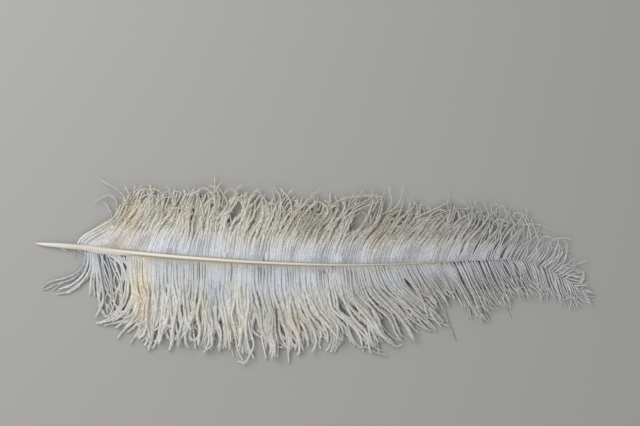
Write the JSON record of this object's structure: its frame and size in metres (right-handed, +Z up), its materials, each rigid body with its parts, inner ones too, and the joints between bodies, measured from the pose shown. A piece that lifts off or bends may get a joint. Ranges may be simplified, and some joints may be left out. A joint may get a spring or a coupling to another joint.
{
  "type": "ostrich feather",
  "caption": "Ostrich wing plume lying flat: a tapering pale shaft with a bare quill, a wide and a narrow vane of soft loose barbs, and curled barbs standing clear at the base.",
  "frame": {"origin": "middle of the plume in plan, on the surface that it lies on", "axes": "+X from the quill to the feather tip, +Y towards the narrower leading vane, +Z up"},
  "size_m": [0.5594, 0.183, 0.0088],
  "materials": {
    "keratin": "smooth pale cream keratin, slightly glossy, whiter and more translucent at the quill",
    "leading_down": "soft matt barbs, blue-white beside the shaft, cream further out, greyish at the tips",
    "trailing_down": "soft matt barbs, off-white with cream locks near the base and grey outer ends",
    "loose_down": "single matt white barbs with a short nap",
    "dry_sheath": "thin dry papery sheath"
  },
  "bodies": {
    "root": {"shaft": "keratin", "vane_leading": "leading_down", "vane_trailing": "trailing_down", "curled_barb_tall": "loose_down", "curled_barb_hooked": "loose_down", "curled_barb_short": "loose_down", "swept_barb_upper": "loose_down", "swept_barb_middle": "loose_down", "swept_barb_inner": "loose_down", "swept_barb_lower": "loose_down", "straight_barb": "loose_down", "broken_barb_stub": "loose_down", "bent_barb_outer": "loose_down", "sheath_flake": "dry_sheath"}
  },
  "joints": []
}
